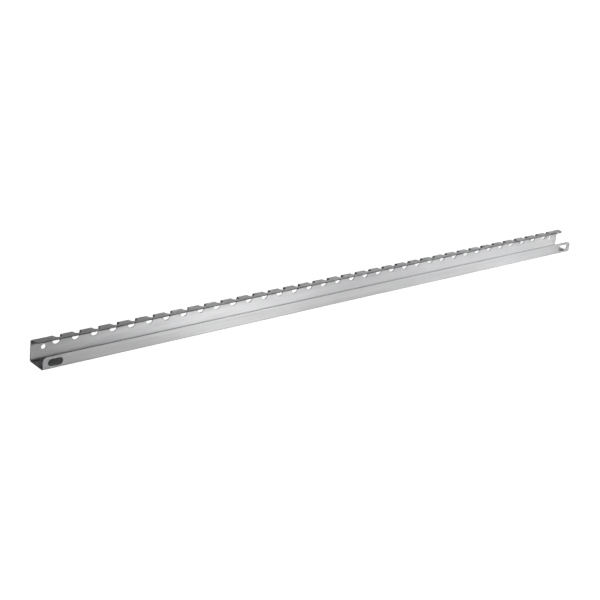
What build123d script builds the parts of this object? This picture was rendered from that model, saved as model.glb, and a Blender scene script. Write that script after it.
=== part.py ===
"""Knife magnetic rack: one folded stainless channel with a magnet bar bonded behind its low front wall.

Frame, in millimetres: X along the rack, +Y from the front wall to the back wall, +Z up.
The origin is at the middle of the rack's length and depth, on the underside of its bottom plate.

The channel is a single sheet with three bends. A row of obround notches is punched across the top
bend, so each notch cuts both the back wall and the flange that is folded forward from it.
"""

import os

from build123d import *

# Channel: outside sizes of the folded sheet.
RACK_LENGTH = 914.4
CHANNEL_DEPTH = 28.0
BACK_WALL_HEIGHT = 26.5
FRONT_WALL_HEIGHT = 15.8
FLANGE_WIDTH = 12.0
SHEET_THICKNESS = 1.2
BEND_INNER_RADIUS = 1.0
CORNER_RADIUS = 6.5

# Notches across the top bend: reach is measured from the outside corner of the bend.
NOTCH_PITCH = 25.0
NOTCH_WIDTH = 10.0
NOTCH_FLANGE_REACH = 8.0
NOTCH_WALL_REACH = 11.5
NOTCH_END_MARGIN = 25.0

# Fixing holes, all at one distance from the ends of the sheet.
FIXING_END_DISTANCE = 16.0
SLOT_LENGTH = 19.0
SLOT_WIDTH = 9.0
SLOT_HEIGHT = 7.8
ROUND_HOLE_DIAMETER = 6.0
ROUND_HOLE_HEIGHT = 14.8

# Magnet bar behind the front wall: tape, magnets in their carrier, then the yoke strip.
TAPE_THICKNESS = 0.5
MAGNET_LENGTH = 36.0
MAGNET_HEIGHT = 7.0
MAGNET_THICKNESS = 5.0
MAGNET_CLEARANCE = 0.15
CARRIER_RIB = 4.7
CARRIER_RIM = 0.75
YOKE_THICKNESS = 1.2
BAR_END_DISTANCE = 44.0
BAR_BEND_CLEARANCE = 0.2

# Sizes that follow from the ones above.
BEND_OUTER_RADIUS = BEND_INNER_RADIUS + SHEET_THICKNESS
CUT_PAST = 1.0

FRONT_FACE_Y = -CHANNEL_DEPTH / 2
BACK_FACE_Y = CHANNEL_DEPTH / 2
FLANGE_EDGE_Y = BACK_FACE_Y - FLANGE_WIDTH
FIXING_X = RACK_LENGTH / 2 - FIXING_END_DISTANCE

POCKET_LENGTH = MAGNET_LENGTH + 2 * MAGNET_CLEARANCE
POCKET_HEIGHT = MAGNET_HEIGHT + 2 * MAGNET_CLEARANCE
POCKET_PITCH = POCKET_LENGTH + CARRIER_RIB
BAR_HEIGHT = POCKET_HEIGHT + 2 * CARRIER_RIM
BAR_Z = SHEET_THICKNESS + BEND_INNER_RADIUS + BAR_BEND_CLEARANCE + BAR_HEIGHT / 2
BAR_ROOM = RACK_LENGTH - 2 * BAR_END_DISTANCE - CARRIER_RIB
MAGNET_COUNT = int(BAR_ROOM // POCKET_PITCH)
BAR_LENGTH = MAGNET_COUNT * POCKET_PITCH + CARRIER_RIB

TAPE_Y = FRONT_FACE_Y + SHEET_THICKNESS
CARRIER_Y = TAPE_Y + TAPE_THICKNESS
YOKE_Y = CARRIER_Y + MAGNET_THICKNESS


def centred_row(room, pitch):
    """X positions of the most copies at this pitch that fit in this room, centred on the rack."""
    count = int(room // pitch) + 1
    return [(index - (count - 1) / 2) * pitch for index in range(count)]


def folded_section():
    """Cross-section of the sheet in the YZ plane, with its three bends."""
    outer = [
        (FRONT_FACE_Y, FRONT_WALL_HEIGHT),
        (FRONT_FACE_Y, 0),
        (BACK_FACE_Y, 0),
        (BACK_FACE_Y, BACK_WALL_HEIGHT),
        (FLANGE_EDGE_Y, BACK_WALL_HEIGHT),
    ]
    inner = [
        (FRONT_FACE_Y + SHEET_THICKNESS, FRONT_WALL_HEIGHT),
        (FRONT_FACE_Y + SHEET_THICKNESS, SHEET_THICKNESS),
        (BACK_FACE_Y - SHEET_THICKNESS, SHEET_THICKNESS),
        (BACK_FACE_Y - SHEET_THICKNESS, BACK_WALL_HEIGHT - SHEET_THICKNESS),
        (FLANGE_EDGE_Y, BACK_WALL_HEIGHT - SHEET_THICKNESS),
    ]
    with BuildSketch(Plane.YZ) as section:
        with BuildLine():
            FilletPolyline(*outer, radius=BEND_OUTER_RADIUS)
            FilletPolyline(*inner, radius=BEND_INNER_RADIUS)
            Line(outer[0], inner[0])
            Line(outer[-1], inner[-1])
        make_face()
    return section.sketch


def obround_cutter(centre, long_side, short_side, x_dir, z_dir, depth):
    """Solid obround that starts at centre, with its long side along x_dir, and runs along z_dir."""
    start = Plane(origin=centre, x_dir=x_dir, z_dir=z_dir)
    return extrude(start * SlotOverall(long_side, short_side), amount=depth)


def notch_cutters(x):
    """The two cuts that make one notch: one through the back wall, one through the flange."""
    bend_depth = BEND_OUTER_RADIUS + CUT_PAST
    wall_long = NOTCH_WALL_REACH + NOTCH_WIDTH
    wall_cut = obround_cutter(
        centre=(x, BACK_FACE_Y + CUT_PAST, BACK_WALL_HEIGHT - NOTCH_WALL_REACH + wall_long / 2),
        long_side=wall_long,
        short_side=NOTCH_WIDTH,
        x_dir=(0, 0, 1),
        z_dir=(0, -1, 0),
        depth=bend_depth,
    )
    flange_long = NOTCH_FLANGE_REACH + NOTCH_WIDTH
    flange_cut = obround_cutter(
        centre=(x, BACK_FACE_Y - NOTCH_FLANGE_REACH + flange_long / 2, BACK_WALL_HEIGHT + CUT_PAST),
        long_side=flange_long,
        short_side=NOTCH_WIDTH,
        x_dir=(0, 1, 0),
        z_dir=(0, 0, -1),
        depth=bend_depth,
    )
    return [wall_cut, flange_cut]


def fixing_cutters(x):
    """The obround slot in the front wall and the round hole in the back wall at one end."""
    slot = obround_cutter(
        centre=(x, FRONT_FACE_Y - CUT_PAST, SLOT_HEIGHT),
        long_side=SLOT_LENGTH,
        short_side=SLOT_WIDTH,
        x_dir=(1, 0, 0),
        z_dir=(0, 1, 0),
        depth=SHEET_THICKNESS + 2 * CUT_PAST,
    )
    hole_start = Plane(origin=(x, BACK_FACE_Y + CUT_PAST, ROUND_HOLE_HEIGHT), z_dir=(0, -1, 0))
    hole = extrude(hole_start * Circle(ROUND_HOLE_DIAMETER / 2), amount=SHEET_THICKNESS + 2 * CUT_PAST)
    return [slot, hole]


def free_corner_edges(sheet):
    """The short edges, one sheet thickness long, at the free corners of the front wall and the flange."""
    ends = [edge for edge in sheet.edges() if abs(abs(edge.center().X) - RACK_LENGTH / 2) < 1e-3]
    front = [
        edge
        for edge in ends
        if abs(edge.center().Z - FRONT_WALL_HEIGHT) < 1e-3 and edge.center().Y < 0
    ]
    flange = [edge for edge in ends if abs(edge.center().Y - FLANGE_EDGE_Y) < 1e-3]
    return front + flange


def rack_channel():
    """The folded sheet: section, rounded free corners, fixing holes, then the row of notches."""
    sheet = extrude(folded_section(), amount=RACK_LENGTH / 2, both=True)
    sheet = fillet(free_corner_edges(sheet), radius=CORNER_RADIUS)
    cutters = []
    for x in (-FIXING_X, FIXING_X):
        cutters += fixing_cutters(x)
    for x in centred_row(RACK_LENGTH - 2 * NOTCH_END_MARGIN, NOTCH_PITCH):
        cutters += notch_cutters(x)
    return sheet - cutters


def bar_block(length, thickness, height, x, front_y):
    """A block of the magnet bar whose front face is at front_y."""
    return Pos(x, front_y + thickness / 2, BAR_Z) * Box(length, thickness, height)


def pocket_centres():
    """X of each magnet's centre."""
    return [(index - (MAGNET_COUNT - 1) / 2) * POCKET_PITCH for index in range(MAGNET_COUNT)]


def bonding_tape():
    """Double-sided foam tape that holds the magnet bar to the inner face of the front wall."""
    return bar_block(BAR_LENGTH, TAPE_THICKNESS, BAR_HEIGHT, 0, TAPE_Y)


def magnet_carrier():
    """Moulded strip with a through pocket for each magnet."""
    strip = bar_block(BAR_LENGTH, MAGNET_THICKNESS, BAR_HEIGHT, 0, CARRIER_Y)
    pockets = [
        bar_block(POCKET_LENGTH, MAGNET_THICKNESS + 2 * CUT_PAST, POCKET_HEIGHT, x, CARRIER_Y - CUT_PAST)
        for x in pocket_centres()
    ]
    return strip - pockets


def magnet(x):
    """One ferrite block, which lies against the tape in front and the yoke strip behind."""
    return bar_block(MAGNET_LENGTH, MAGNET_THICKNESS, MAGNET_HEIGHT, x, CARRIER_Y)


def yoke_strip():
    """Mild steel strip that closes the magnets' field and covers the back of the carrier."""
    return bar_block(BAR_LENGTH, YOKE_THICKNESS, BAR_HEIGHT, 0, YOKE_Y)


def main():
    nodes = {
        "rack_channel": rack_channel(),
        "bonding_tape": bonding_tape(),
        "magnet_carrier": magnet_carrier(),
        "yoke_strip": yoke_strip(),
    }
    for number, x in enumerate(pocket_centres(), start=1):
        nodes[f"magnet_{number:02d}"] = magnet(x)

    os.makedirs("parts", exist_ok=True)
    for name, shape in nodes.items():
        export_step(shape, f"parts/{name}.step")
    print(f"{len(nodes)} nodes, {MAGNET_COUNT} magnets, bar length {BAR_LENGTH:.1f} mm")


main()
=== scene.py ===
# %% [markdown]
# # A knife magnetic rack in folded stainless steel
#
# The rack is one long sheet of stainless steel, punched flat and then folded into a channel. A bar of
# magnets is taped behind its low front wall, and that wall is what holds the knives. Its nodes say how
# big everything is and where it sits. What we make here is only how it looks: softened edges, real
# finishes, painted shade in the trough and along the cut edges, and light.

import math

import bmesh
import bpy
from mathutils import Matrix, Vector


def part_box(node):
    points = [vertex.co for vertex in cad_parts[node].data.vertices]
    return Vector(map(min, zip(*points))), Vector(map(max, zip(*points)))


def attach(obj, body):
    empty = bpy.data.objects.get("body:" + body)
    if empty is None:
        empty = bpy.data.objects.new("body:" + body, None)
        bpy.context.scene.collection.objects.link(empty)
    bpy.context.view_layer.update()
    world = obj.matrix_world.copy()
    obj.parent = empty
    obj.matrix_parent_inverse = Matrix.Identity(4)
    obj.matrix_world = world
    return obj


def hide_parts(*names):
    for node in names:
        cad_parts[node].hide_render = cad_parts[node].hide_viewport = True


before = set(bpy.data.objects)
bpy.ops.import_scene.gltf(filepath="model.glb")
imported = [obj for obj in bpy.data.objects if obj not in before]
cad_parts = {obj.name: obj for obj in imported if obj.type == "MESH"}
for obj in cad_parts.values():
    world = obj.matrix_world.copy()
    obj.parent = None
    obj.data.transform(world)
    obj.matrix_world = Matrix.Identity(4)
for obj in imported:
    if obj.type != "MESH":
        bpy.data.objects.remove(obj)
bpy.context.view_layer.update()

# %% [markdown]
# ## Sizes
#
# Blender works in metres and a sheet-metal drawing in millimetres, so one factor, MM, turns one into the
# other. The outside sizes are read from the frame. The rest are the sizes on the drawing: the height of
# each wall, the sheet's thickness, the radius inside each bend, and the holes. They are written once,
# here, so that every later step follows the same drawing.

# %% Sizes of the sheet and its holes
MM = 0.001

channel_low, channel_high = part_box("rack_channel")
LENGTH = channel_high.x - channel_low.x
FRONT_Y, BACK_Y = channel_low.y, channel_high.y
BACK_TOP = channel_high.z

FRONT_TOP = 15.8 * MM
FLANGE_WIDTH = 12.0 * MM
SHEET = 1.2 * MM
BEND_INSIDE = 1.0 * MM
CORNER_RADIUS = 6.5 * MM

NOTCH_PITCH = 25.0 * MM
NOTCH_COUNT = 35
NOTCH_WIDTH = 10.0 * MM
NOTCH_IN_FLANGE = 8.0 * MM
NOTCH_IN_WALL = 11.5 * MM

FIXING_FROM_END = 16.0 * MM
SLOT_LENGTH = 19.0 * MM
SLOT_WIDTH = 9.0 * MM
SLOT_Z = 7.8 * MM
ROUND_HOLE = 6.0 * MM
ROUND_HOLE_Z = 14.8 * MM

print("sheet", SHEET / MM, "mm thick,", NOTCH_COUNT, "notches", NOTCH_PITCH / MM, "mm apart")

# %% [markdown]
# ## Outlines
#
# Everything here starts as a flat outline, as it would on the drawing. `arc` gives the points of a round
# stretch, and `obround` the outline of a slot with round ends, which is the shape of most punched holes,
# because a punch with sharp corners wears out first at its corners. When a slot is as long as it is
# wide, it is a plain round hole.

# %% Arcs and slots
ARC_STEPS = 8
ROUND_END_STEPS = 2 * ARC_STEPS


def arc(centre, radius, start, end, steps=ARC_STEPS):
    """Points on a circle between two angles in degrees, ends included."""
    angles = [math.radians(start + (end - start) * step / steps) for step in range(steps + 1)]
    return [(centre[0] + radius * math.cos(a), centre[1] + radius * math.sin(a)) for a in angles]


def obround(centre, long_side, short_side, along_first=True):
    """Outline of a slot with round ends. Its long side is along the first or the second direction."""
    radius = short_side / 2
    reach = long_side / 2 - radius
    turn = 0 if along_first else 90
    across = (reach, 0) if along_first else (0, reach)
    far_centre = (centre[0] + across[0], centre[1] + across[1])
    near_centre = (centre[0] - across[0], centre[1] - across[1])
    far = arc(far_centre, radius, turn - 90, turn + 90, ROUND_END_STEPS)
    near = arc(near_centre, radius, turn + 90, turn + 270, ROUND_END_STEPS)
    # The halves of a round hole share their end points, so each gives one up.
    return far + near if reach > 0 else far[:-1] + near[:-1]


print("a round end has", len(arc((0, 0), 1, 0, 180, ROUND_END_STEPS)), "points")

# %% [markdown]
# ## Solids and plain meshes
#
# `prism` pushes an outline straight through space, and the three `along` helpers say which way. A
# finished piece must stand by itself, at the origin, with nothing live left on it, so `plain_mesh` takes
# an object with modifiers and returns a new one with their result as an ordinary mesh.


# %% Prisms and finished meshes
def new_piece(name, mesh):
    """A shown object at the origin with this mesh."""
    piece = bpy.data.objects.new(name, mesh)
    bpy.context.scene.collection.objects.link(piece)
    return piece


def prism(bm, outline, place, low, high):
    """Adds a closed prism to bm. place(a, b, depth) turns an outline point and a depth into a position."""
    rings = [[bm.verts.new(place(a, b, depth)) for a, b in outline] for depth in (low, high)]
    caps = [bm.faces.new(ring) for ring in rings]
    low_ring, high_ring = rings
    sides = []
    for i in range(len(outline)):
        following = (i + 1) % len(outline)
        corners = [low_ring[i], low_ring[following], high_ring[following], high_ring[i]]
        sides.append(bm.faces.new(corners))
    return caps, sides


def finish_bmesh(bm, name):
    """Turns a bmesh into an object, with its faces pointing outwards."""
    bmesh.ops.recalc_face_normals(bm, faces=bm.faces)
    mesh = bpy.data.meshes.new(name)
    bm.to_mesh(mesh)
    bm.free()
    return new_piece(name, mesh)


def plain_mesh(source, name):
    """Replaces an object that has modifiers by one with their result as a plain mesh."""
    graph = bpy.context.evaluated_depsgraph_get()
    mesh = bpy.data.meshes.new_from_object(source.evaluated_get(graph), depsgraph=graph)
    bpy.data.objects.remove(source)
    mesh.name = name
    return new_piece(name, mesh)


def along_x(a, b, depth):
    """Outline in the YZ plane, pushed along X."""
    return (depth, a, b)


def along_y(a, b, depth):
    """Outline in the XZ plane, pushed along Y."""
    return (a, depth, b)


def along_z(a, b, depth):
    """Outline in the XY plane, pushed along Z."""
    return (a, b, depth)


print("outlines can be pushed by", along_x.__name__, along_y.__name__, along_z.__name__)

# %% [markdown]
# ## The camera
#
# The rack is far longer than it is tall, so the camera looks along it from the front left and a little
# above. The near end then shows how the sheet is folded, and the notches shrink away to the right. A
# long lens keeps the two walls nearly parallel. The camera is also tipped a few degrees about its own
# line of sight, which lays the rack across the frame from the lower left to the upper right.

# %% Camera
CAMERA_PLACE = (-1.129, -1.131, 0.636)
CAMERA_TURN = (67.80, -6.36, -40.37)
LENS_MM = 78.14
SENSOR_MM = 36.0

camera_data = bpy.data.cameras.new("camera")
camera_data.lens = LENS_MM
camera_data.sensor_width = SENSOR_MM
camera = bpy.data.objects.new("camera", camera_data)
camera.location = CAMERA_PLACE
camera.rotation_euler = [math.radians(angle) for angle in CAMERA_TURN]
bpy.context.scene.collection.objects.link(camera)
bpy.context.scene.camera = camera
print("camera stands", round(Vector(CAMERA_PLACE).length, 2), "m from the rack, lens", LENS_MM, "mm")

# %% [markdown]
# ## The folded sheet
#
# A press brake folds the sheet along three straight lines, so its cross-section is the same from end to
# end: two parallel outlines, one sheet thickness apart, with a small round at each bend. We could sweep
# that section along a curve, but a straight prism is simpler and gives flat walls that stay exactly
# flat. The cut edges of the sheet get a second material, because a sheared edge never has the brushed
# face's grain.

# %% Section of the sheet, pushed along its length
FACE_SLOT, EDGE_SLOT = 0, 1


def folded_line(inset, bend_radius):
    """One side of the sheet in the YZ plane, from the top of the front wall to the flange's free edge."""
    front, back = FRONT_Y + inset, BACK_Y - inset
    bottom, top = inset, BACK_TOP - inset
    line = [(front, FRONT_TOP)]
    line += arc((front + bend_radius, bottom + bend_radius), bend_radius, 180, 270)
    line += arc((back - bend_radius, bottom + bend_radius), bend_radius, 270, 360)
    line += arc((back - bend_radius, top - bend_radius), bend_radius, 0, 90)
    line.append((BACK_Y - FLANGE_WIDTH, top))
    return line


def folded_sheet():
    """The sheet as a closed solid, before any hole is punched."""
    outside = folded_line(0.0, BEND_INSIDE + SHEET)
    inside = folded_line(SHEET, BEND_INSIDE)
    bm = bmesh.new()
    caps, sides = prism(bm, outside + inside[::-1], along_x, -LENGTH / 2, LENGTH / 2)
    free_edges = [sides[len(outside) - 1], sides[-1]]
    for face in caps + free_edges:
        face.material_index = EDGE_SLOT
    return finish_bmesh(bm, "folded_sheet")


sheet = folded_sheet()
print("the section has", len(sheet.data.vertices) // 2, "points")

# %% [markdown]
# ## One notch punch
#
# Each notch is a slot with round ends that lies across the top bend, so part of it is in the flange and
# the rest in the back wall. On the real sheet it is punched flat, before the fold. Here we cut the
# folded sheet, so the punch has two legs, one through each wall. We make one punch with care and let
# Geometry Nodes repeat it.

# %% The notch punch
PAST = 1.0 * MM
BEND_OUTSIDE = BEND_INSIDE + SHEET


def notch_punch():
    """A two-legged punch at x = 0: down through the flange and forward through the back wall."""
    legs = []
    wall_long = NOTCH_IN_WALL + NOTCH_WIDTH
    wall_outline = obround(
        (0, BACK_TOP - NOTCH_IN_WALL + wall_long / 2), wall_long, NOTCH_WIDTH, along_first=False
    )
    flange_long = NOTCH_IN_FLANGE + NOTCH_WIDTH
    flange_outline = obround(
        (0, BACK_Y - NOTCH_IN_FLANGE + flange_long / 2), flange_long, NOTCH_WIDTH, along_first=False
    )
    shapes = [
        (wall_outline, along_y, BACK_Y - BEND_OUTSIDE, BACK_Y + PAST),
        (flange_outline, along_z, BACK_TOP - BEND_OUTSIDE, BACK_TOP + PAST),
    ]
    for number, (outline, place, low, high) in enumerate(shapes):
        bm = bmesh.new()
        prism(bm, outline, place, low, high)
        legs.append(finish_bmesh(bm, f"punch_leg_{number}"))
    joined = legs[0].modifiers.new("second leg", "BOOLEAN")
    joined.operation = "UNION"
    joined.object = legs[1]
    punch = plain_mesh(legs[0], "notch_punch")
    bpy.data.objects.remove(legs[1])
    return punch


punch = notch_punch()
print("the notch punch has", len(punch.data.polygons), "faces")

# %% [markdown]
# ## The punches at the ends
#
# Each end has a slot in the front wall, a small round hole behind it in the back wall, and rounded free
# corners. A screw goes through the round hole, and the slot in front of it lets the screwdriver in. A
# corner is rounded by taking away what lies outside its arc, so that is one more punch.


# %% Slots, round holes and round corners
def corner_outline(corner_x, corner_b, side):
    """What leaves a square corner round. side is -1 at the left end and 1 at the right."""
    radius = CORNER_RADIUS
    centre = (corner_x - side * radius, corner_b - radius)
    round_part = arc(centre, radius, 90, 90 - side * 90, ROUND_END_STEPS)
    beyond_x, beyond_b = corner_x + side * PAST, corner_b + PAST
    return round_part + [(beyond_x, centre[1]), (beyond_x, beyond_b), (centre[0], beyond_b)]


def end_punches():
    """Slots, round holes and round corners at both ends, as one object."""
    through_front = (along_y, FRONT_Y - PAST, FRONT_Y + SHEET + PAST)
    through_back = (along_y, BACK_Y - SHEET - PAST, BACK_Y + PAST)
    through_flange = (along_z, BACK_TOP - SHEET - PAST, BACK_TOP + PAST)
    flange_edge = BACK_Y - FLANGE_WIDTH
    bm = bmesh.new()
    for side in (-1, 1):
        x = side * (LENGTH / 2 - FIXING_FROM_END)
        corner_x = side * LENGTH / 2
        prism(bm, obround((x, SLOT_Z), SLOT_LENGTH, SLOT_WIDTH), *through_front)
        prism(bm, obround((x, ROUND_HOLE_Z), ROUND_HOLE, ROUND_HOLE), *through_back)
        prism(bm, corner_outline(corner_x, FRONT_TOP, side), *through_front)
        # The flange's free edge faces the front, so its corner outline is turned over.
        flipped = [(a, -b) for a, b in corner_outline(corner_x, -flange_edge, side)]
        prism(bm, flipped, *through_flange)
    return finish_bmesh(bm, "end_punches")


ends = end_punches()
print("the punches at the ends have", len(ends.data.polygons), "faces")

# %% [markdown]
# ## Repeating with Geometry Nodes
#
# A row of equal pieces is what Geometry Nodes do best. The tree makes a line of points, puts a copy of
# one piece on each point, and turns the copies into real mesh. Count, pitch and material are inputs of
# the tree, so the same tree serves the notch punches here and the magnets further on. It also stores a
# random value on each copy, with a fixed seed, which a material can use to make each copy a little
# different.


# %% A tree that repeats a piece along X
def put(tree, kind, inputs=None, **settings):
    """Adds a node, sets its properties, and fills its inputs with values or links."""
    node = tree.nodes.new(kind)
    for name, value in settings.items():
        setattr(node, name, value)
    for socket, value in (inputs or {}).items():
        if isinstance(value, bpy.types.NodeSocket):
            tree.links.new(value, node.inputs[socket])
        else:
            node.inputs[socket].default_value = value
    return node


def math_node(tree, operation, first, second=0.0):
    """Adds a Math node and returns its result."""
    return put(tree, "ShaderNodeMath", {0: first, 1: second}, operation=operation).outputs[0]


def row_tree():
    """Geometry Nodes tree: copies of a piece in a centred row along X."""
    tree = bpy.data.node_groups.new("row_along_x", "GeometryNodeTree")
    wanted = (
        ("Piece", "NodeSocketObject"),
        ("Count", "NodeSocketInt"),
        ("Pitch", "NodeSocketFloat"),
        ("Material", "NodeSocketMaterial"),
        ("Seed", "NodeSocketInt"),
    )
    for name, kind in wanted:
        tree.interface.new_socket(name, in_out="INPUT", socket_type=kind)
    tree.interface.new_socket("Geometry", in_out="OUTPUT", socket_type="NodeSocketGeometry")
    given = put(tree, "NodeGroupInput")
    gaps = math_node(tree, "SUBTRACT", given.outputs["Count"], 1.0)
    span = math_node(tree, "MULTIPLY", gaps, given.outputs["Pitch"])
    start = put(tree, "ShaderNodeCombineXYZ", {"X": math_node(tree, "MULTIPLY", span, -0.5)})
    step = put(tree, "ShaderNodeCombineXYZ", {"X": given.outputs["Pitch"]})
    line = put(
        tree,
        "GeometryNodeMeshLine",
        {"Count": given.outputs["Count"], "Start Location": start.outputs[0], "Offset": step.outputs[0]},
        mode="OFFSET",
    )
    piece = put(tree, "GeometryNodeObjectInfo", {"Object": given.outputs["Piece"]})
    copies = put(
        tree,
        "GeometryNodeInstanceOnPoints",
        {"Points": line.outputs[0], "Instance": piece.outputs["Geometry"]},
    )
    # This node has an output for each kind of value. The one for a single number is its second.
    tone = put(tree, "FunctionNodeRandomValue", {"Seed": given.outputs["Seed"]}, data_type="FLOAT")
    toned = put(
        tree,
        "GeometryNodeStoreNamedAttribute",
        {"Geometry": copies.outputs[0], "Name": "tone", "Value": tone.outputs[1]},
        data_type="FLOAT",
        domain="INSTANCE",
    )
    real = put(tree, "GeometryNodeRealizeInstances", {"Geometry": toned.outputs[0]})
    painted = put(
        tree,
        "GeometryNodeSetMaterial",
        {"Geometry": real.outputs[0], "Material": given.outputs["Material"]},
    )
    put(tree, "NodeGroupOutput", {"Geometry": painted.outputs[0]})
    return tree


ROW = row_tree()


def row_of(piece, name, count, pitch, material=None, seed=0):
    """Runs the row tree on a piece and returns the row as a plain mesh."""
    holder = new_piece(name + "_holder", bpy.data.meshes.new(name))
    modifier = holder.modifiers.new("row", "NODES")
    modifier.node_group = ROW
    values = {"Piece": piece, "Count": count, "Pitch": pitch, "Material": material, "Seed": seed}
    for item in ROW.interface.items_tree:
        if item.in_out == "INPUT" and values[item.name] is not None:
            modifier[item.identifier] = values[item.name]
    row = plain_mesh(holder, name)
    bpy.data.objects.remove(piece)
    return row


punches = row_of(punch, "notch_punches", NOTCH_COUNT, NOTCH_PITCH)
print("the row of punches is", round(punches.dimensions.x / MM, 1), "mm long")

# %% [markdown]
# ## Shader building blocks
#
# A finish is easier to believe when several small effects add up. Each effect is a node group with
# named inputs, built once and used by every material that needs it. The first is `grain`, the long fine
# scratches that a brushing belt leaves: noise squeezed along the rack, once fine and once broad. It
# reads Object coordinates, which are metres on the piece itself, so the scratches have their real size.


# %% Shader group for the grain
def shader_group(name, inputs, outputs):
    """An empty shader group with float inputs, given with their defaults, and float outputs."""
    group = bpy.data.node_groups.new(name, "ShaderNodeTree")
    for title, value in inputs:
        socket = group.interface.new_socket(title, in_out="INPUT", socket_type="NodeSocketFloat")
        socket.default_value = value
    for title in outputs:
        group.interface.new_socket(title, in_out="OUTPUT", socket_type="NodeSocketFloat")
    return group, put(group, "NodeGroupInput")


def stretched_noise(group, scale_socket, stretch_socket, detail, roughness):
    """Noise on Object coordinates whose features are stretched along X."""
    place = put(group, "ShaderNodeTexCoord").outputs["Object"]
    squeeze = math_node(group, "DIVIDE", 1.0, stretch_socket)
    scale = put(group, "ShaderNodeCombineXYZ", {"X": squeeze, "Y": 1.0, "Z": 1.0}).outputs[0]
    squeezed = put(group, "ShaderNodeVectorMath", {0: place, 1: scale}, operation="MULTIPLY")
    noise_inputs = {
        "Vector": squeezed.outputs[0],
        "Scale": scale_socket,
        "Detail": detail,
        "Roughness": roughness,
    }
    return put(group, "ShaderNodeTexNoise", noise_inputs).outputs["Fac"]


def ramp(group, value, low, high, **settings):
    """0 at low, 1 at high and even in between. low may be above high."""
    inputs = {"Value": value, "From Min": low, "From Max": high}
    return put(group, "ShaderNodeMapRange", inputs, **settings).outputs[0]


def grain_group():
    """Long scratches along X: a fine set and a broad set. Puts out both and their mix."""
    inputs = (("Fine Scale", 2200.0), ("Broad Scale", 380.0), ("Stretch", 60.0), ("Broad Share", 0.5))
    group, given = shader_group("grain", inputs, ("Mix", "Fine", "Broad"))
    stretch = given.outputs["Stretch"]
    fine = stretched_noise(group, given.outputs["Fine Scale"], stretch, 3.0, 0.65)
    broad = stretched_noise(group, given.outputs["Broad Scale"], stretch, 4.0, 0.6)
    share = {"Factor": given.outputs["Broad Share"], "A": fine, "B": broad}
    mixed = put(group, "ShaderNodeMix", share).outputs[0]
    # Noise keeps close to 0.5, so each output is spread to fill the whole range from 0 to 1.
    spread = {"Mix": mixed, "Fine": fine, "Broad": broad}
    spread = {title: ramp(group, value, 0.3, 0.7) for title, value in spread.items()}
    put(group, "NodeGroupOutput", spread)
    return group


GRAIN = grain_group()
print("the grain's outputs:", [item.name for item in GRAIN.interface.items_tree if item.in_out == "OUTPUT"])

# %% [markdown]
# ## Blotches and specks
#
# `blotch` gives slow soft changes, such as the marks of handling or the clouds in a plated surface.
# `specks` gives small separate dots, such as the open cells of foam or the sparkle of a ceramic. A cell
# pattern gives them: near the middle of each cell the distance is small, and that is where a dot is.


# %% Shader groups for blotches and specks
def blotch_group():
    """Slow soft changes over the surface. Low and High set how soft their borders are."""
    inputs = (("Scale", 9.0), ("Stretch", 2.5), ("Low", 0.35), ("High", 0.65))
    group, given = shader_group("blotch", inputs, ("Mask",))
    noise = stretched_noise(group, given.outputs["Scale"], given.outputs["Stretch"], 5.0, 0.55)
    put(group, "NodeGroupOutput", {"Mask": ramp(group, noise, given.outputs["Low"], given.outputs["High"])})
    return group


def specks_group():
    """Small separate dots, 1 inside a dot and 0 outside."""
    group, given = shader_group("specks", (("Scale", 900.0), ("Size", 0.16)), ("Mask",))
    place = put(group, "ShaderNodeTexCoord").outputs["Object"]
    cells = put(group, "ShaderNodeTexVoronoi", {"Vector": place, "Scale": given.outputs["Scale"]})
    dots = math_node(group, "LESS_THAN", cells.outputs["Distance"], given.outputs["Size"])
    put(group, "NodeGroupOutput", {"Mask": dots})
    return group


BLOTCH, SPECKS = blotch_group(), specks_group()
print("shader groups:", GRAIN.name, BLOTCH.name, SPECKS.name)
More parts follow.
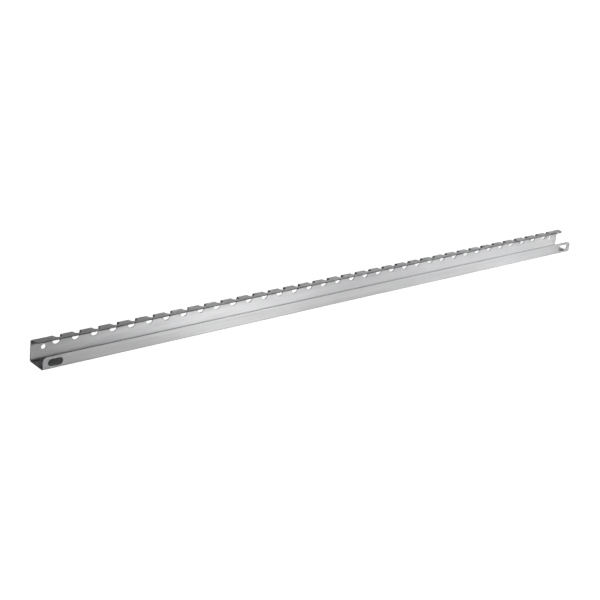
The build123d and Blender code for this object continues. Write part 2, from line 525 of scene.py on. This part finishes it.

# %% [markdown]
# ## Painted shade in the trough
#
# The bottom plate near the left end and a thin line in the two lower folds get a dark colour. It is
# painted shade that stands in for the shade deep in the trough, not a film of dust. It is a mask made from
# the
# position on the piece: how far along, how high above the underside, and whether it is inside the
# walls. A painted image could do the same, but a mask needs no unwrapping and follows the sizes above.


# %% Shader group for the painted shade
def painted_shade_group():
    """1 where the painted shade is darkest and 0 where the steel keeps its own colour. Lengths are in
    metres.
    """
    inputs = (
        ("Start", -LENGTH / 2),
        ("Full", 50 * MM),
        ("Reach", 200 * MM),
        ("Fade Height", 2 * SHEET),
        ("Crease", 0.5),
        ("Crease Height", 3 * SHEET),
        ("Unevenness", 0.3),
    )
    group, given = shader_group("film", inputs, ("Mask",))
    place = put(group, "ShaderNodeTexCoord").outputs["Object"]
    axes = put(group, "ShaderNodeSeparateXYZ", {"Vector": place}).outputs
    from_end = math_node(group, "SUBTRACT", axes["X"], given.outputs["Start"])
    sideways = math_node(group, "ABSOLUTE", axes["Y"])
    # The plate's upper face is one sheet thickness above the underside, where Z is 0.
    # On the plate: painted shade in full near the left end, then less and less.
    along = ramp(
        group, from_end, given.outputs["Reach"], given.outputs["Full"], interpolation_type="SMOOTHSTEP"
    )
    below = ramp(group, axes["Z"], given.outputs["Fade Height"], 1.1 * SHEET)
    plate = math_node(group, "MULTIPLY", along, below)
    # In the folds: a thin line of painted shade from end to end.
    corner = ramp(group, axes["Z"], given.outputs["Crease Height"], 1.5 * SHEET)
    bent = math_node(group, "GREATER_THAN", sideways, BACK_Y - SHEET - BEND_INSIDE)
    line = math_node(group, "MULTIPLY", corner, bent)
    crease = math_node(group, "MULTIPLY", line, given.outputs["Crease"])
    # Only inside the trough, and never quite even.
    above = ramp(group, axes["Z"], 0.4 * SHEET, 0.8 * SHEET)
    inside = math_node(group, "LESS_THAN", sideways, BACK_Y - 0.5 * SHEET)
    cloud = put(group, "ShaderNodeTexNoise", {"Vector": place, "Scale": 90.0, "Detail": 4.0})
    patchiness = math_node(group, "MULTIPLY", cloud.outputs["Fac"], given.outputs["Unevenness"])
    mask = math_node(group, "MAXIMUM", plate, crease)
    for factor in (above, inside, math_node(group, "SUBTRACT", 1.0, patchiness)):
        mask = math_node(group, "MULTIPLY", mask, factor)
    put(group, "NodeGroupOutput", {"Mask": mask})
    return group


PAINTED_SHADE = painted_shade_group()
print("the film's inputs:", [item.name for item in PAINTED_SHADE.interface.items_tree if item.in_out == "INPUT"])

# %% [markdown]
# ## Helpers for materials
#
# A material here is one Principled shader whose sockets are fed by the groups. `effect` places a group,
# `colour_between` and `value_between` turn its mask into a colour or a number, `bump` tilts the normal
# by it, and `feed` links the results. A constant goes straight to the shader's own socket.


# %% Placing groups and feeding the shader
def effect(tree, group, **inputs):
    """Places a shader group in a material. Underscores in input names stand for spaces."""
    values = {name.replace("_", " "): value for name, value in inputs.items()}
    return put(tree, "ShaderNodeGroup", values, node_tree=group).outputs


def colour_between(tree, factor, low, high):
    """Goes from low to high as the factor goes from 0 to 1. Each is a colour or a link."""
    ends = [end if isinstance(end, bpy.types.NodeSocket) else (*end, 1.0) for end in (low, high)]
    inputs = {"Factor": factor, "A": ends[0], "B": ends[1]}
    return put(tree, "ShaderNodeMix", inputs, data_type="RGBA").outputs["Result"]


def value_between(tree, factor, low, high):
    """A number that goes from low to high as the factor goes from 0 to 1."""
    return put(tree, "ShaderNodeMapRange", {"Value": factor, "To Min": low, "To Max": high}).outputs[0]


def bump(tree, height, strength, distance):
    """A normal that a height map tilts."""
    inputs = {"Height": height, "Strength": strength, "Distance": distance}
    return put(tree, "ShaderNodeBump", inputs).outputs["Normal"]


def grey(level, tint=0.0):
    """A grey whose blue is a little stronger by tint."""
    return (level, level, level + tint)


def new_material(name, metallic=0.0):
    """A material with one Principled shader. Returns the material, its tree and the shader."""
    material = bpy.data.materials.new(name)
    material.use_nodes = True
    tree = material.node_tree
    shader = tree.nodes["Principled BSDF"]
    shader.inputs["Metallic"].default_value = metallic
    return material, tree, shader


def feed(tree, shader, **links):
    """Links values to the shader's sockets. Underscores in socket names stand for spaces."""
    for name, value in links.items():
        tree.links.new(value, shader.inputs[name.replace("_", " ")])


print("a grey with a hint of blue:", grey(0.5, 0.01))

# %% [markdown]
# ## Brushed stainless steel
#
# Brushed steel is bright metal with thousands of fine parallel scratches. Across the scratches a
# reflection smears out, along them it stays sharper. Anisotropy on the shader gives that smear, and its
# tangent runs round the rack's long axis, square to the scratches. The grain group then varies
# roughness, tone and bump a little, the blotch group adds the faint marks of handling, and the trough
# mask paints shade into the trough. A sheared edge was never brushed and has a short uneven grain. Its
# dark colour is partly painted shade, which draws the thin dark line of shadow round every cut.


# %% Stainless face and sheared edge
def brushed_stainless():
    """Bright metal with a grain along the rack, and painted shade in the trough."""
    material, tree, shader = new_material("brushed_stainless", metallic=1.0)
    shader.inputs["Anisotropic"].default_value = 1.0
    grain = effect(tree, GRAIN)["Mix"]
    marks = effect(tree, BLOTCH, Scale=7.0, Stretch=3.0)["Mask"]
    # Painted shade: this mask darkens the bottom plate near the left end and the two lower folds.
    film = effect(tree, PAINTED_SHADE)["Mask"]
    steel = colour_between(tree, grain, grey(0.52, 0.005), grey(0.67, 0.005))
    handled = colour_between(tree, value_between(tree, marks, 0.0, 0.12), steel, grey(0.54, 0.01))
    rough_grain = value_between(tree, grain, 0.30, 0.40)
    rough_marks = value_between(tree, marks, -0.02, 0.04)
    feed(
        tree,
        shader,
        Base_Color=colour_between(tree, film, handled, grey(0.05, 0.002)),
        Roughness=math_node(tree, "ADD", rough_grain, rough_marks),
        Normal=bump(tree, grain, 0.12, 0.04 * MM),
        Tangent=put(tree, "ShaderNodeTangent", direction_type="RADIAL", axis="X").outputs[0],
    )
    return material


def sheared_edge():
    """The cut face of the sheet: metal with a short grain, whose dark colour is partly painted shade."""
    material, tree, shader = new_material("sheared_edge", metallic=1.0)
    grain = effect(tree, GRAIN, Fine_Scale=3000.0, Broad_Scale=900.0, Stretch=4.0)["Mix"]
    feed(
        tree,
        shader,
        # Painted shade in part: the near-black colour stands in for the shadow and dark reflection along
        # each cut.
        Base_Color=colour_between(tree, grain, grey(0.10, 0.005), grey(0.20, 0.005)),
        Roughness=value_between(tree, grain, 0.26, 0.42),
        Normal=bump(tree, grain, 0.3, 0.06 * MM),
    )
    return material


STAINLESS, SHEARED = brushed_stainless(), sheared_edge()
print("materials:", STAINLESS.name, SHEARED.name)

# %% [markdown]
# ## Punching and deburring the sheet
#
# A boolean cuts the punches out of the sheet, and gives the new faces the punches' own material, so
# every cut edge is a sheared one without picking faces by hand. Real sheet is deburred: its edges are
# broken by about a tenth of a millimetre. A bevel does that, and it matters more than its size suggests,
# because those thin rounds are what catches the light along every edge.

# %% Cut, bevel and finish the channel
EDGE_BREAK = 0.12 * MM
BEVEL_ABOVE = math.radians(40)
BEVEL_SEGMENTS = 2
WELD_WITHIN = 0.002 * MM


def cut_with(target, cutter):
    """Cuts a cutter out of the target. The new faces take the cutter's material."""
    cutter.data.materials.clear()
    cutter.data.materials.append(SHEARED)
    for face in cutter.data.polygons:
        face.material_index = 0
    cut = target.modifiers.new("cut", "BOOLEAN")
    cut.operation = "DIFFERENCE"
    cut.solver = "EXACT"
    cut.material_mode = "TRANSFER"
    cut.object = cutter


def break_edges(piece, width):
    """Bevels the sharp edges and keeps the flat faces flat in shading."""
    bevel = piece.modifiers.new("broken edges", "BEVEL")
    bevel.width = width
    bevel.segments = BEVEL_SEGMENTS
    bevel.limit_method = "ANGLE"
    bevel.angle_limit = BEVEL_ABOVE
    bevel.miter_outer = "MITER_ARC"
    weighted = piece.modifiers.new("flat faces", "WEIGHTED_NORMAL")
    weighted.keep_sharp = True


def weld(piece):
    """Merges points that lie on each other."""
    bm = bmesh.new()
    bm.from_mesh(piece.data)
    bmesh.ops.remove_doubles(bm, verts=bm.verts, dist=WELD_WITHIN)
    bmesh.ops.dissolve_degenerate(bm, edges=bm.edges, dist=WELD_WITHIN)
    bm.to_mesh(piece.data)
    bm.free()


sheet.data.materials.append(STAINLESS)
sheet.data.materials.append(SHEARED)
cut_with(sheet, punches)
cut_with(sheet, ends)
channel = plain_mesh(sheet, "rack_channel_finished")
bpy.data.objects.remove(punches)
bpy.data.objects.remove(ends)
weld(channel)
channel.data.shade_smooth()
break_edges(channel, EDGE_BREAK)
channel = plain_mesh(channel, "rack_channel_finished")
print("the channel has", len(channel.data.polygons), "faces")

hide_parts("rack_channel")
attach(channel, "root")

# %% [markdown]
# ## Finishes of the magnet bar
#
# The bar is made of four plain things: foam tape, a moulded black strip, ferrite magnets and a zinc
# plated steel strip. Ferrite is a ground ceramic, dark grey and slightly sparkling. Zinc plate is a
# bluish grey with soft cloudy patches. Foam is matt with tiny open cells, and moulded plastic has a fine
# even texture. Each one uses the same effects in other amounts.


# %% Foam and moulded plastic
def foam_tape():
    """Matt black foam with tiny open cells."""
    material, tree, shader = new_material("foam_tape")
    shader.inputs["Roughness"].default_value = 0.9
    cells = effect(tree, SPECKS, Scale=2600.0, Size=0.3)["Mask"]
    feed(
        tree,
        shader,
        Base_Color=colour_between(tree, cells, grey(0.045, 0.005), grey(0.02, 0.002)),
        Normal=bump(tree, cells, 0.5, 0.1 * MM),
    )
    return material


def moulded_black():
    """Black plastic with a fine texture, a little shinier where it has rubbed."""
    material, tree, shader = new_material("moulded_black")
    texture = effect(tree, SPECKS, Scale=1500.0, Size=0.35)["Mask"]
    wear = effect(tree, BLOTCH, Scale=30.0, Stretch=6.0)["Mask"]
    feed(
        tree,
        shader,
        Base_Color=colour_between(tree, wear, grey(0.018, 0.002), grey(0.035, 0.002)),
        Roughness=value_between(tree, wear, 0.42, 0.58),
        Normal=bump(tree, texture, 0.2, 0.05 * MM),
    )
    return material


FOAM, BLACK = foam_tape(), moulded_black()
print("materials:", FOAM.name, BLACK.name)

# %% [markdown]
# Zinc plate is a metal, and ferrite is nearly a stone with a little metal in its shine. The plate has
# clouds from the plating bath over a fine grain from the rolled strip. Each magnet takes its own shade
# of grey from the attribute `tone`, which the row tree stores on it, and has a sparkle of bright grains.


# %% Zinc plate and ferrite
def zinc_plate():
    """Bluish plated steel with soft clouds."""
    material, tree, shader = new_material("zinc_plate", metallic=1.0)
    clouds = effect(tree, BLOTCH, Scale=60.0, Stretch=2.0, Low=0.3, High=0.7)["Mask"]
    grain = effect(tree, GRAIN, Fine_Scale=1800.0, Broad_Scale=300.0, Stretch=40.0)["Broad"]
    feed(
        tree,
        shader,
        Base_Color=colour_between(tree, clouds, (0.55, 0.57, 0.6), (0.68, 0.69, 0.7)),
        Roughness=value_between(tree, clouds, 0.3, 0.48),
        Normal=bump(tree, grain, 0.15, 0.05 * MM),
    )
    return material


def ferrite():
    """Dark ground ceramic with a sparkle, each block in its own grey."""
    material, tree, shader = new_material("ferrite", metallic=0.35)
    tone = put(tree, "ShaderNodeAttribute", attribute_name="tone").outputs["Fac"]
    sparkle = effect(tree, SPECKS, Scale=2200.0, Size=0.18)["Mask"]
    body = colour_between(tree, tone, grey(0.045, 0.003), grey(0.075, 0.005))
    feed(
        tree,
        shader,
        Base_Color=colour_between(tree, sparkle, body, grey(0.16, 0.01)),
        Roughness=value_between(tree, sparkle, 0.6, 0.35),
    )
    return material


ZINC, FERRITE = zinc_plate(), ferrite()
print("materials:", ZINC.name, FERRITE.name)

# %% [markdown]
# ## The magnets
#
# The magnets are equal blocks, so one block with broken edges goes through the same row tree as the
# punches. The random value that the tree stores on each copy makes some blocks a little lighter than
# others, as they are from the kiln. The block's size and the row's pitch come from the frame's own
# magnets, so the row can't drift from the engineering model.

# %% One magnet, then the row
magnet_names = sorted(
    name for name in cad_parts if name.startswith("magnet_") and name[-1].isdigit()
)
first_low, first_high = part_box(magnet_names[0])
second_low, second_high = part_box(magnet_names[1])
MAGNET_PITCH = second_low.x - first_low.x
MAGNET_EDGE = 0.35 * MM


def rectangle(low, high):
    """Outline of a rectangle between two corners."""
    return [(low[0], low[1]), (high[0], low[1]), (high[0], high[1]), (low[0], high[1])]


def magnet_block():
    """One magnet at x = 0, with broken edges."""
    half = (first_high.x - first_low.x) / 2
    outline = rectangle((-half, first_low.z), (half, first_high.z))
    bm = bmesh.new()
    prism(bm, outline, along_y, first_low.y, first_high.y)
    block = finish_bmesh(bm, "magnet_block")
    break_edges(block, MAGNET_EDGE)
    return plain_mesh(block, "magnet_block")


magnets = row_of(magnet_block(), "magnets", len(magnet_names), MAGNET_PITCH, FERRITE, seed=7)
magnets.data.shade_flat()
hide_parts(*magnet_names)
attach(magnets, "root")
print(len(magnet_names), "magnets,", round(MAGNET_PITCH / MM, 1), "mm apart")

# %% [markdown]
# ## Carrier, tape and yoke
#
# These three are simple strips whose shape is already right in the engineering model. A copy of each
# one's mesh is welded, its coplanar triangles are merged back into flat faces, and its edges are broken
# by the amount that its own making leaves. Foam is cut with a blade, so its edges are the sharpest.


# %% Softened copies of the strips
SAME_POINT = 0.001 * MM
FLAT_WITHIN = math.radians(1)
MOULDED_EDGE, SLIT_EDGE, FOAM_EDGE = 0.15 * MM, 0.15 * MM, 0.08 * MM


def softened(node, name, material, width):
    """A copy of a CAD node with merged faces, broken edges and its own material."""
    bm = bmesh.new()
    bm.from_mesh(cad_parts[node].data)
    bmesh.ops.remove_doubles(bm, verts=bm.verts, dist=SAME_POINT)
    bmesh.ops.dissolve_limit(bm, angle_limit=FLAT_WITHIN, verts=bm.verts, edges=bm.edges)
    piece = finish_bmesh(bm, name)
    piece.data.materials.append(material)
    piece.data.shade_smooth()
    break_edges(piece, width)
    piece = plain_mesh(piece, name)
    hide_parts(node)
    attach(piece, "root")
    return piece


carrier = softened("magnet_carrier", "magnet_carrier_moulded", BLACK, MOULDED_EDGE)
yoke = softened("yoke_strip", "yoke_strip_plated", ZINC, SLIT_EDGE)
tape = softened("bonding_tape", "bonding_tape_foam", FOAM, FOAM_EDGE)
print("faces:", [(piece.name, len(piece.data.polygons)) for piece in (carrier, yoke, tape)])

# %% [markdown]
# ## The floor
#
# The floor is a plain pale sheet. Steel mirrors its floor, and a really white floor would wash out the
# walls, so this one is two floors in one: the camera sees it almost white, and everything else sees a
# grey one. Studios do the same with dark cloths laid just outside the view. The Light Path node tells
# the two apart.


# %% Floor
FLOOR_GLOW = 0.96
FLOOR_RADIUS = 12.0
FLOOR_SIDES = 96


def pale_floor():
    """A large round sheet. The glow is seen by the camera only, not in reflections."""
    material, tree, shader = new_material("pale_floor")
    shader.inputs["Roughness"].default_value = 0.9
    shader.inputs["Specular IOR Level"].default_value = 0.0
    shader.inputs["Emission Strength"].default_value = 1.0
    mottle = effect(tree, BLOTCH, Scale=2.0, Stretch=1.0)["Mask"]
    seen = put(tree, "ShaderNodeLightPath").outputs["Is Camera Ray"]
    feed(
        tree,
        shader,
        Base_Color=colour_between(tree, mottle, grey(0.15), grey(0.17)),
        Emission_Color=colour_between(tree, seen, grey(0.0), grey(FLOOR_GLOW)),
    )
    bm = bmesh.new()
    bmesh.ops.create_circle(bm, cap_ends=True, segments=FLOOR_SIDES, radius=FLOOR_RADIUS)
    sheet_below = finish_bmesh(bm, "floor")
    sheet_below.data.materials.append(material)
    if sheet_below.data.polygons[0].normal.z < 0:
        sheet_below.data.flip_normals()
    return sheet_below


floor = pale_floor()
print("the floor is", round(floor.dimensions.x, 1), "m across")

# %% [markdown]
# ## Light
#
# Metal shows its surroundings more than itself, so the light is really a set of pale panels for the
# steel to reflect. Most of them stand in two rows parallel to the rack, one in front and one behind, and
# there it is enough to say where a softbox starts and ends along the rack, how high it hangs and how
# bright its cloth is. The code works out the power from the area, so a longer panel isn't a dimmer one.
#
# The bright ones are at the front right, because that is where both walls mirror the camera's sight line
# to. The gap between two of them gives the steel a soft darker band. Little light stands high behind the
# rack, so the top of the flange stays darker than the walls. A low panel behind lights the back face, and
# the ones at the left and at the far end are for whoever walks round the rack.

# %% Softboxes
ROW_DISTANCE = 2.5
FRONT_ROW, BACK_ROW = -ROW_DISTANCE, ROW_DISTANCE


def panel(name, place, towards, width, height, brightness):
    """An area light of the given size, with its cloth facing along a direction."""
    data = bpy.data.lights.new(name, "AREA")
    data.shape = "RECTANGLE"
    data.size, data.size_y = width, height
    data.energy = brightness * math.pi * width * height
    light = bpy.data.objects.new(name, data)
    light.location = place
    light.rotation_euler = Vector(towards).to_track_quat("-Z", "Y").to_euler()
    bpy.context.scene.collection.objects.link(light)


def softbox(name, row_y, x_range, z_range, brightness):
    """A panel in one of the rows, turned to face the rack."""
    x_from, x_to = x_range
    z_low, z_high = z_range
    middle_z = (z_low + z_high) / 2
    place = ((x_from + x_to) / 2, row_y, middle_z)
    panel(name, place, (0.0, -row_y, -middle_z), x_to - x_from, z_high - z_low, brightness)


softbox("front_left", FRONT_ROW, (0.9, 1.55), (1.05, 1.5), 15.0)
softbox("front_middle", FRONT_ROW, (1.6, 2.35), (1.2, 1.65), 43.0)
softbox("front_right", FRONT_ROW, (2.75, 4.1), (1.2, 1.65), 36.0)
softbox("front_fill", FRONT_ROW, (-3.2, -0.4), (0.9, 2.6), 6.0)
softbox("back_fill", BACK_ROW, (-4.0, -0.8), (0.6, 1.8), 4.0)
softbox("back_right", BACK_ROW, (2.0, 4.2), (0.5, 1.6), 0.35)
softbox("back_low", BACK_ROW, (-0.8, 4.2), (0.02, 0.24), 6.0)
panel("far_end", (5.0, 0.0, 1.3), (-5.0, 0.0, -1.3), 2.4, 1.6, 0.7)

# %% [markdown]
# ## The room
#
# What isn't a panel or the floor is the room. It is dim in the steel, a little brighter at its left, and
# white where the camera sees it past the floor's edge, so no horizon shows. The view transform is the
# plain one, which leaves white as white.


# %% Room
def room(right_side, left_side):
    """Soft light from everywhere, with one brightness at the right and another at the left."""
    world = bpy.data.worlds.new("room")
    bpy.context.scene.world = world
    world.use_nodes = True
    tree = world.node_tree
    direction = put(tree, "ShaderNodeTexCoord").outputs["Generated"]
    across = put(tree, "ShaderNodeSeparateXYZ", {"Vector": direction}).outputs["X"]
    edges = {"Value": across, "From Min": 0.1, "From Max": -0.7, "To Min": right_side, "To Max": left_side}
    reflected = put(tree, "ShaderNodeMapRange", edges, interpolation_type="SMOOTHSTEP").outputs[0]
    seen = put(tree, "ShaderNodeLightPath").outputs["Is Camera Ray"]
    brightness = put(tree, "ShaderNodeMix", {"Factor": seen, "A": reflected, "B": 1.0})
    background = tree.nodes["Background"]
    background.inputs["Color"].default_value = (1.0, 1.0, 1.0, 1.0)
    tree.links.new(brightness.outputs[0], background.inputs["Strength"])


room(right_side=0.04, left_side=0.3)
bpy.context.scene.view_settings.view_transform = "Standard"
print("view transform:", bpy.context.scene.view_settings.view_transform)
